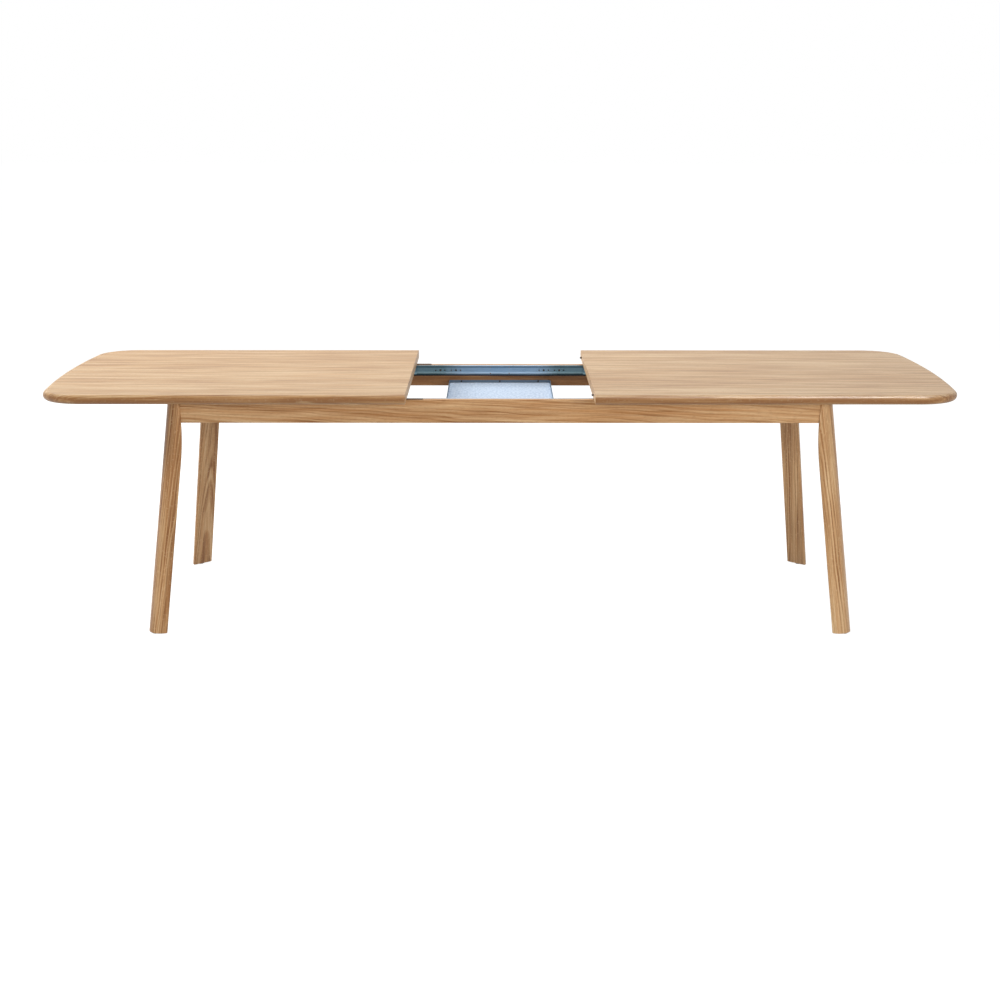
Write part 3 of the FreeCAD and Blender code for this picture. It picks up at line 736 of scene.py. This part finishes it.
def close_tree(tree, geometry, material):
    """Ends a tree in plain geometry with its finish."""
    real = add(tree, "GeometryNodeRealizeInstances", {"Geometry": geometry})
    done = add(tree, "GeometryNodeSetMaterial", {"Geometry": real, "Material": material})
    add(tree, "NodeGroupOutput", {"Geometry": done})
    return tree


def scatter(tree, points, part):
    """Puts a part at each point, along the point's axis and turned about it by a seeded draw."""
    axis = add(tree, "GeometryNodeInputNamedAttribute", {"Name": "axis"}, data_type="FLOAT_VECTOR")
    turn = add(tree, "FunctionNodeAlignRotationToVector", {"Vector": axis}, axis="Z")
    angle = add(tree, "FunctionNodeRandomValue", {2: 0.0, 3: 2 * math.pi, 8: SEED}, output=1,
                data_type="FLOAT")
    spin = add(tree, "FunctionNodeAxisAngleToRotation", {"Axis": (0, 0, 1), "Angle": angle})
    rotation = add(tree, "FunctionNodeRotateRotation", {0: turn, 1: spin}, rotation_space="LOCAL")
    return add(tree, "GeometryNodeInstanceOnPoints",
               {"Points": points, "Instance": part, "Rotation": rotation})


def stand(tree, part, height):
    """Lifts a part that is centred on Z = 0 until it stands there."""
    half = add(tree, MATH, {0: height, 1: 0.5}, operation="MULTIPLY")
    raised = add(tree, "ShaderNodeCombineXYZ", {2: half})
    return add(tree, "GeometryNodeTransform", {"Geometry": part, "Translation": raised})


def screw_tree():
    """A screw from its head at Z = 0 to its point: cone under the head, plain neck, thread, and a cross
    recess where that has a width."""
    tree, size = new_tree("screw", "Head", "Shank", "Length", "Pitch", "Plain", "Recess")
    turns = add(tree, MATH, {0: size["Length"], 1: size["Pitch"]}, operation="DIVIDE")
    rings = add(tree, MATH, {0: turns, 1: THREAD_STEPS}, operation="MULTIPLY")
    blank = add(tree, "GeometryNodeMeshCylinder", {"Vertices": SCREW_SIDES, "Side Segments": rings,
                                                   "Radius": 1.0, "Depth": 1.0})
    place = add(tree, "GeometryNodeInputPosition")
    parts = add(tree, "ShaderNodeSeparateXYZ", {0: place}).node.outputs
    share = add(tree, MATH, {0: parts["Z"], 1: 0.5}, operation="ADD")
    height = add(tree, MATH, {0: share, 1: size["Length"]}, operation="MULTIPLY")
    cone = add(tree, MATH, {0: size["Head"], 1: 0.5, 2: height}, operation="MULTIPLY_ADD")
    slope = add(tree, MATH, {0: height, 1: -2.0, 2: cone}, operation="MULTIPLY_ADD")
    neck = add(tree, MATH, {0: size["Shank"], 1: 0.5}, operation="MULTIPLY")
    bar = add(tree, MATH, {0: slope, 1: neck}, operation="MAXIMUM")
    rest = add(tree, MATH, {0: size["Length"], 1: height}, operation="SUBTRACT")
    point = add(tree, MATH, {0: rest, 1: 0.5}, operation="MULTIPLY")
    outline = add(tree, MATH, {0: bar, 1: point}, operation="MINIMUM")
    angle = add(tree, MATH, {0: parts["Y"], 1: parts["X"]}, operation="ARCTAN2")
    wound = add(tree, MATH, {0: angle, 1: -2 * math.pi}, operation="DIVIDE")
    along = add(tree, MATH, {0: height, 1: size["Pitch"]}, operation="DIVIDE")
    phase = add(tree, MATH, {0: along, 1: wound}, operation="ADD")
    wave = add(tree, MATH, {0: phase, 1: 0.5}, operation="PINGPONG")
    threaded = add(tree, MATH, {0: height, 1: size["Plain"]}, operation="GREATER_THAN")
    groove = add(tree, MATH, {0: wave, 1: threaded}, operation="MULTIPLY")
    kept = add(tree, MATH, {0: groove, 1: -THREAD_CUT, 2: 1.0}, operation="MULTIPLY_ADD")
    radius = add(tree, MATH, {0: outline, 1: kept}, operation="MULTIPLY")
    stretch = add(tree, "ShaderNodeCombineXYZ", {0: radius, 1: radius, 2: size["Length"]})
    half = add(tree, MATH, {0: size["Length"], 1: 0.5}, operation="MULTIPLY")
    raised = add(tree, "ShaderNodeCombineXYZ", {2: half})
    turned = add(tree, VECTOR_MATH, {0: place, 1: stretch, 2: raised}, operation="MULTIPLY_ADD")
    shaped = add(tree, "GeometryNodeSetPosition", {"Geometry": blank, "Position": turned})
    screw = add(tree, "GeometryNodeMergeByDistance", {"Geometry": shaped, "Distance": WELD})
    narrow = add(tree, MATH, {0: size["Recess"], 1: RECESS_FOOT_SHARE}, operation="MULTIPLY")
    deep = add(tree, MATH, {0: size["Recess"], 1: RECESS_DEPTH_SHARE}, operation="MULTIPLY")
    pit = add(tree, "GeometryNodeMeshCone", {"Vertices": 4, "Radius Top": narrow,
                                             "Radius Bottom": size["Recess"], "Depth": deep})
    above = add(tree, MATH, {0: deep, 1: -RECESS_RISE_SHARE}, operation="MULTIPLY")
    start = add(tree, "ShaderNodeCombineXYZ", {2: above})
    arms = [add(tree, "GeometryNodeTransform", {"Geometry": pit, "Translation": start, "Scale": (*shares, 1)})
            for shares in (RECESS_ARM_SHARES, RECESS_ARM_SHARES[::-1])]
    crossed = add(tree, "GeometryNodeMeshBoolean",
                  {"Mesh 1": screw, "Mesh 2": arms, "Self Intersection": True}, operation="DIFFERENCE",
                  solver="EXACT")
    has_recess = add(tree, MATH, {0: size["Recess"], 1: 0.0}, operation="GREATER_THAN")
    part = add(tree, "GeometryNodeSwitch", {"Switch": has_recess, "False": screw, "True": crossed},
               input_type="GEOMETRY")
    return close_tree(tree, scatter(tree, size["Geometry"], part), size["Finish"])


def ball_tree():
    tree, size = new_tree("ball", "Diameter")
    radius = add(tree, MATH, {0: size["Diameter"], 1: 0.5}, operation="MULTIPLY")
    ball = add(tree, "GeometryNodeMeshIcoSphere", {"Radius": radius, "Subdivisions": 3})
    return close_tree(tree, scatter(tree, size["Geometry"], ball), size["Finish"])


def washer_tree():
    """A stamped ring with rolled edges, swept round a circle, from Z = 0 up."""
    tree, size = new_tree("washer", "Outer", "Inner", "Thickness")
    across = add(tree, MATH, {0: size["Outer"], 1: size["Inner"]}, operation="SUBTRACT")
    width = add(tree, MATH, {0: across, 1: 0.5}, operation="MULTIPLY")
    total = add(tree, MATH, {0: size["Outer"], 1: size["Inner"]}, operation="ADD")
    radius = add(tree, MATH, {0: total, 1: 0.25}, operation="MULTIPLY")
    round_it = add(tree, "GeometryNodeCurvePrimitiveCircle", {"Resolution": WASHER_STEPS, "Radius": radius})
    section = add(tree, "GeometryNodeCurvePrimitiveQuadrilateral",
                  {"Width": width, "Height": size["Thickness"]})
    rolled = add(tree, "GeometryNodeFilletCurve", {"Curve": section, "Radius": WASHER_ROLL, "Count": 2},
                 mode="POLY")
    ring = add(tree, "GeometryNodeCurveToMesh", {"Curve": round_it, "Profile Curve": rolled})
    washer = stand(tree, ring, size["Thickness"])
    return close_tree(tree, scatter(tree, size["Geometry"], washer), size["Finish"])


def nut_tree():
    """A hexagon whose corners are turned away at both faces, bored through, from Z = 0 up."""
    tree, size = new_tree("nut", "Width", "Height", "Bore")
    corner = add(tree, MATH, {0: size["Width"], 1: math.sqrt(3)}, operation="DIVIDE")
    hexagon = add(tree, "GeometryNodeMeshCylinder",
                  {"Vertices": 6, "Radius": corner, "Depth": size["Height"]})
    ball = add(tree, MATH, {0: size["Width"], 1: NUT_DOME_SHARE}, operation="MULTIPLY")
    dome = add(tree, "GeometryNodeMeshUVSphere", {"Segments": 36, "Rings": 24, "Radius": ball})
    eased = add(tree, "GeometryNodeMeshBoolean", {"Mesh 2": [hexagon, dome]}, operation="INTERSECT",
                solver="EXACT")
    inner = add(tree, MATH, {0: size["Bore"], 1: 0.5}, operation="MULTIPLY")
    through = add(tree, MATH, {0: size["Height"], 1: 2.0}, operation="MULTIPLY")
    drill = add(tree, "GeometryNodeMeshCylinder", {"Vertices": 32, "Radius": inner, "Depth": through})
    bored = add(tree, "GeometryNodeMeshBoolean", {"Mesh 1": eased, "Mesh 2": drill}, operation="DIFFERENCE",
                solver="EXACT")
    nut = stand(tree, bored, size["Height"])
    return close_tree(tree, scatter(tree, size["Geometry"], nut), size["Finish"])


def drilled_tree():
    """Holes in a board at its loose points: straight from the point back out, and a cone on from it."""
    tree, size = new_tree("drilled", "Bore", "Point", "Depth")
    axis = add(tree, "GeometryNodeInputNamedAttribute", {"Name": "axis"}, data_type="FLOAT_VECTOR")
    length = add(tree, VECTOR_MATH, {0: axis}, output="Value", operation="LENGTH")
    loose = add(tree, MATH, {0: length, 1: 0.5}, operation="GREATER_THAN")
    parted = add(tree, "GeometryNodeSeparateGeometry", {"Geometry": size["Geometry"], "Selection": loose},
                 domain="POINT").node.outputs
    blank = add(tree, "GeometryNodeMeshCylinder", {"Vertices": HOLE_STEPS, "Side Segments": 2,
                                                   "Radius": 1.0, "Depth": 2.0})
    place = add(tree, "GeometryNodeInputPosition")
    height = add(tree, "ShaderNodeSeparateXYZ", {0: place}, output="Z")
    inner = add(tree, MATH, {0: height, 1: 0.0}, operation="MAXIMUM")
    outer = add(tree, MATH, {0: height, 1: 0.0}, operation="MINIMUM")
    taper = add(tree, MATH, {0: size["Bore"], 1: size["Point"]}, operation="SUBTRACT")
    cone = add(tree, MATH, {0: taper, 1: 0.5}, operation="MULTIPLY")
    fall = add(tree, MATH, {0: inner, 1: cone}, operation="MULTIPLY")
    wide = add(tree, MATH, {0: size["Bore"], 1: 0.5}, operation="MULTIPLY")
    radius = add(tree, MATH, {0: wide, 1: fall}, operation="SUBTRACT")
    level = add(tree, MATH, {0: outer, 1: size["Depth"], 2: fall}, operation="MULTIPLY_ADD")
    stretch = add(tree, "ShaderNodeCombineXYZ", {0: radius, 1: radius})
    raised = add(tree, "ShaderNodeCombineXYZ", {2: level})
    turned = add(tree, VECTOR_MATH, {0: place, 1: stretch, 2: raised}, operation="MULTIPLY_ADD")
    drill = add(tree, "GeometryNodeSetPosition", {"Geometry": blank, "Position": turned})
    planted = scatter(tree, parted["Selection"], drill)
    drills = add(tree, "GeometryNodeRealizeInstances", {"Geometry": planted})
    board = add(tree, "GeometryNodeMeshBoolean", {"Mesh 1": parted["Inverted"], "Mesh 2": drills},
                operation="DIFFERENCE", solver="EXACT")
    return close_tree(tree, board, size["Finish"])


SCREW = screw_tree()
BALL = ball_tree()
WASHER = washer_tree()
NUT = nut_tree()
DRILLED = drilled_tree()


def plant(form, places):
    """Adds a loose point for each place, which keeps its axis."""
    layer = form.verts.layers.float_vector.new("axis")
    for place, axis in places:
        form.verts.new(place)[layer] = axis


def grow(form, name, tree, material, **sizes):
    """Runs a tree on a bmesh and returns the plain mesh that it makes."""
    seed = bpy.data.objects.new(name, as_mesh(form, name, material))
    bpy.context.scene.collection.objects.link(seed)
    modifier = seed.modifiers.new("tree", "NODES")
    modifier.node_group = tree
    values = dict(sizes, Finish=material)
    for socket in tree.interface.items_tree:
        if socket.item_type == "SOCKET" and socket.in_out == "INPUT" and socket.name in values:
            modifier[socket.identifier] = values[socket.name]
    depsgraph = bpy.context.evaluated_depsgraph_get()
    mesh = bpy.data.meshes.new_from_object(seed.evaluated_get(depsgraph), preserve_all_data_layers=True,
                                           depsgraph=depsgraph)
    seed.modifiers.clear()
    bpy.data.objects.remove(seed)
    if "axis" in mesh.attributes:
        mesh.attributes.remove(mesh.attributes["axis"])
    return mesh


def hardware(node, body, slot, tree, material, way, **sizes):
    """Replaces a CAD node of small turned solids by a tree's parts at the same places."""
    form = bmesh.new()
    plant(form, [(start, axis) for start, axis, length in seats(node, way)])
    return new_piece(node + "_set", grow(form, node, tree, material, **sizes), body, slot, node)


# Screws, bolts, washers, nuts and balls

def screws(node, body, way, head, shank, length):
    """Wood screws of these sizes in millimetres at the places of a CAD node's solids."""
    hardware(node, body, "screw_steel", SCREW, screw_steel, way, Head=head * MM, Shank=shank * MM,
             Length=length * MM, Pitch=PITCH_SHARE * shank * MM, Plain=head * MM,
             Recess=RECESS_SHARE * head * MM)


def leg_bolts():
    """Hanger bolts, in the two lengths that the leaning legs ask for."""
    form = bmesh.new()
    found = seats("leg_bolts", to_corner)
    for length in sorted({round(length, 4) for start, axis, length in found}):
        points = bmesh.new()
        plant(points, [(start, axis) for start, axis, reach in found if abs(reach - length) < MM])
        mesh = grow(points, "leg_bolts", SCREW, screw_steel, Head=BOLT_DIAMETER, Shank=BOLT_DIAMETER,
                    Length=length, Pitch=BOLT_PITCH, Plain=0.0, Recess=0.0)
        form.from_mesh(mesh)
        bpy.data.meshes.remove(mesh)
    new_piece("leg_bolts_set", as_mesh(form, "leg_bolts", screw_steel), "frame", "screw_steel", "leg_bolts")


leg_bolts()
hardware("leg_washers", "frame", "screw_steel", WASHER, screw_steel, to_corner, **WASHER_SIZES)
hardware("leg_nuts", "frame", "screw_steel", NUT, screw_steel, to_corner, **NUT_SIZES)
screws("block_screws", "frame", outward, *BLOCK_SCREW)
screws("channel_screws", "frame", outward, *SLIDE_SCREW)
screws("tray_screws", "frame", outward, *TRAY_SCREW)
for name, side in SIDES:
    screws(name + "_rail_screws", name + "_half", inward, *SLIDE_SCREW)
    screws(name + "_runner_screws", name + "_half", upward, *RUNNER_SCREW)
    screws(name + "_batten_screws", name + "_half", upward, *BATTEN_SCREW)
    for place, depth in DEPTHS:
        corner = place + "_" + name
        found = seats(corner + "_balls", upward)
        form = bmesh.new()
        plant(form, [(start + axis * length / 2, axis) for start, axis, length in found])
        mesh = grow(form, corner + "_balls", BALL, ball_steel, Diameter=BALL_DIAMETER)
        new_piece(corner + "_ball_row", mesh, corner + "_ball_cage", "ball_steel", corner + "_balls")


# Boards of the frame, the runners, the battens and the corner blocks

def board(node, kind, number, along, across, material, body, slot, holes=(), hole=SCREW_HOLE, shaded_way=None):
    """A planed board: the outer shape of its CAD node with the arrises eased, drilled at these places."""
    form = bmesh.new()
    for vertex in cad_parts[node].data.vertices:
        form.verts.new(vertex.co)
    bmesh.ops.remove_doubles(form, verts=form.verts, dist=WELD)
    hull = bmesh.ops.convex_hull(form, input=form.verts)
    inside = hull["geom_interior"] + hull["geom_unused"]
    spare = {item for item in inside if isinstance(item, bmesh.types.BMVert)}
    bmesh.ops.delete(form, geom=list(spare), context="VERTS")
    bmesh.ops.dissolve_limit(form, angle_limit=FLAT_ANGLE, verts=form.verts, edges=form.edges)
    arrises = [edge for edge in form.edges if edge.calc_face_angle(0) > ARRIS_ANGLE]
    bmesh.ops.bevel(form, geom=arrises, offset=BOARD_EASE, segments=3, profile=0.5, affect="EDGES")
    if holes:
        plant(form, holes)
        bore, point, depth = hole
        mesh = grow(form, node, DRILLED, material, Bore=bore * MM, Point=point * MM, Depth=depth * MM)
    else:
        mesh = as_mesh(form, node + "_board", material)
    low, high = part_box(node)
    piece = new_piece(node + "_board", mesh, body, slot, node)
    seed, pith = BOARD_WOOD[kind]
    return lay_grain(piece, seed + number, (low + high) / 2, along, across, pith, shaded_way=shaded_way)


def within(node, found):
    """The seats that lie in a CAD node's box."""
    low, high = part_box(node)
    return [(start, axis) for start, axis, length in found
            if all(low[way] - MM < start[way] < high[way] + MM for way in range(3))]


def spare_holes(depth):
    """Blind holes in a long apron, one each side of every screw of its slide: the middle of the bottom, and
    the way into the wood."""
    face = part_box("rear_apron")[0].y
    holes = []
    for start, axis, length in seats("channel_screws", outward):
        if axis.y * depth > 0:
            bottom = axis.y * (face + SPARE_HOLE_DEPTH)
            xs = [start.x + step * SPARE_HOLE_PITCH for step in (-1, 1)]
            holes += [(Vector((x, bottom, start.z)), axis) for x in xs]
    return holes


block_seats = seats("block_screws", outward)
# Painted shade darkens the inner faces of the aprons and end aprons
for number, (place, depth) in enumerate(DEPTHS):
    board(place + "_apron", "apron", number, X_AXIS, Z_AXIS, oak_frame, "frame", "oak_frame",
          spare_holes(depth), SPARE_HOLE, shaded_way=Y_AXIS * -depth)
for number, (name, side) in enumerate(SIDES):
    body = name + "_half"
    board(name + "_end_apron", "end_apron", number, Y_AXIS, Z_AXIS, oak_frame, "frame", "oak_frame",
          shaded_way=X_AXIS * -side)
    batten_seats = seats(name + "_batten_screws", upward)
    for step, part in enumerate(("_inner_batten", "_outer_batten")):
        board(name + part, "batten", 2 * number + step, Y_AXIS, X_AXIS, oak_inside, body, "oak_inside",
              within(name + part, batten_seats))
    runner_seats = seats(name + "_runner_screws", upward)
    for step, (place, depth) in enumerate(DEPTHS):
        runner = place + "_" + name + "_runner"
        block = place + "_" + name + "_corner_block"
        board(runner, "runner", 2 * number + step, X_AXIS, Y_AXIS, oak_inside, body, "oak_inside",
              within(runner, runner_seats))
        board(block, "block", 2 * number + step, Z_AXIS, X_AXIS, oak_inside, "frame", "oak_inside",
              within(block, block_seats), BLOCK_HOLE)


# Felt lining, laid in the tray

def felt():
    """A cut piece of felt: two faces a little uneven, with soft edges."""
    low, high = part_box("tray_felt")
    size = high - low
    form = bmesh.new()
    faces = []
    for level, way in ((high.z, 1), (low.z, -1)):
        rows = []
        for row in range(FELT_ROWS + 1):
            line = []
            for column in range(FELT_COLUMNS + 1):
                x = low.x + size.x * column / FELT_COLUMNS
                y = low.y + size.y * row / FELT_ROWS
                border = row in (0, FELT_ROWS) or column in (0, FELT_COLUMNS)
                lift = FELT_WAVE * (noise.noise(Vector((x, y, 0)) / FELT_WAVE_LENGTH) - 1) if way > 0 else 0
                line.append(form.verts.new((x, y, level + lift - way * FELT_EDGE * border)))
            rows.append(line)
        skin(form, rows)
        right, left = [line[-1] for line in rows[1:]], [line[0] for line in rows[-2:0:-1]]
        faces.append(rows[0] + right + rows[-1][-2::-1] + left)
    skin(form, faces, closed=True)
    mesh = as_mesh(form, "felt_lining", grey_felt)
    piece = new_piece("felt_lining", mesh, "frame", "grey_felt", "tray_felt")


felt()


# Dark strips of painted shadow, stuck on top of the long aprons by the cut of the left half, where its shadow
# falls

def painted_shadow_strip(place):
    """A thin dark strip of painted shadow, with rounded ends and an eased upper edge."""
    low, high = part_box(place + "_apron")
    middle = Vector(((STRIP_START + STRIP_END) / 2, (low.y + high.y) / 2, high.z))
    reach = (STRIP_END - STRIP_START - STRIP_WIDTH) / 2
    form = bmesh.new()
    rings = []
    for inset, level in ((0, 0), (0, STRIP_THICKNESS - STRIP_EASE), (STRIP_EASE, STRIP_THICKNESS)):
        ring = []
        for end in (1, -1):
            for step in range(STRIP_STEPS + 1):
                angle = math.pi * (step / STRIP_STEPS - 0.5) + (0 if end > 0 else math.pi)
                radius = STRIP_WIDTH / 2 - inset
                spot = Vector((end * reach + radius * math.cos(angle), radius * math.sin(angle), level))
                ring.append(form.verts.new(middle + spot))
        rings.append(ring)
    skin(form, rings, closed=True)
    form.faces.new(rings[0])
    form.faces.new(rings[-1])
    mesh = as_mesh(form, place + "_painted_shadow_strip", painted_shadow_nylon)
    new_piece(place + "_painted_shadow_strip", mesh, "frame", "glide_nylon")


for place, depth in DEPTHS:
    painted_shadow_strip(place)


# CAD nodes that stay, with their finishes

finishes = {"slide_channel": zinc_steel, "_rail": zinc_steel, "_cage": pressed_steel,
            "centre_tray": tray_enamel, "slide_buffers": buffer_rubber, "foot_glides": glide_nylon,
            "alignment_pins": pin_nylon}
for node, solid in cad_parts.items():
    for ending, material in finishes.items():
        if node.endswith(ending):
            for material_slot in solid.material_slots:
                material_slot.material = material


# Camera, light and floor

def camera():
    data = bpy.data.cameras.new("camera")
    data.lens = CAMERA_LENS
    data.sensor_width = CAMERA_SENSOR
    eye = bpy.data.objects.new("camera", data)
    eye.location = CAMERA_PLACE
    eye.rotation_euler = (math.pi / 2 - CAMERA_PITCH, CAMERA_ROLL, CAMERA_TURN)
    bpy.context.scene.collection.objects.link(eye)
    bpy.context.scene.camera = eye


def lamp(name, place, aim, size, power, shine=False):
    """A soft box: an area lamp at a place, turned to its aim. It lights surfaces, or else shows in their
    shine."""
    data = bpy.data.lights.new(name, "AREA")
    data.shape = "RECTANGLE"
    data.size, data.size_y = size
    data.energy = power
    box = bpy.data.objects.new(name, data)
    box.location = place
    box.visible_diffuse, box.visible_glossy = not shine, shine
    box.rotation_euler = (Vector(aim) - Vector(place)).to_track_quat("-Z", "Y").to_euler()
    bpy.context.scene.collection.objects.link(box)


def seen_directly(tree):
    """1 for what the camera, a reflection or a refraction sees, 0 for what only lights the object."""
    path = add(tree, "ShaderNodeLightPath").node.outputs
    seen = add(tree, MATH, {0: path["Is Camera Ray"], 1: path["Is Glossy Ray"]},
               operation="MAXIMUM")
    return add(tree, MATH, {0: seen, 1: path["Is Transmission Ray"]}, operation="MAXIMUM")


def studio():
    """A white surround, and a pale floor that takes a faint shadow."""
    world = bpy.data.worlds.new("studio")
    bpy.context.scene.world = world
    tree = empty_tree(world)
    strength = add(tree, "ShaderNodeMapRange", {"Value": seen_directly(tree), "To Min": AMBIENT,
                                                "To Max": 1.0})
    light = add(tree, "ShaderNodeBackground", {"Color": (1, 1, 1, 1), "Strength": strength})
    add(tree, "ShaderNodeOutputWorld", {"Surface": light})

    material = bpy.data.materials.new("pale_floor")
    tree = empty_tree(material)
    paint = add(tree, "ShaderNodeBsdfDiffuse", {"Color": (FLOOR_GREY, FLOOR_GREY, FLOOR_GREY, 1)})
    glow = add(tree, "ShaderNodeMapRange", {"Value": seen_directly(tree), "To Min": 0.0,
                                            "To Max": FLOOR_GLOW})
    shine = add(tree, "ShaderNodeEmission", {"Color": (1, 1, 1, 1), "Strength": glow})
    surface = add(tree, "ShaderNodeAddShader", {0: paint, 1: shine})
    add(tree, "ShaderNodeOutputMaterial", {"Surface": surface})
    form = bmesh.new()
    bmesh.ops.create_grid(form, size=FLOOR_REACH)
    floor = bpy.data.objects.new("floor", as_mesh(form, "floor", material))
    bpy.context.scene.collection.objects.link(floor)


camera()
for entry in LAMPS:
    lamp(*entry)
lamp(*EDGE_SHINE, shine=True)
studio()
bpy.context.scene.view_settings.view_transform = "Standard"
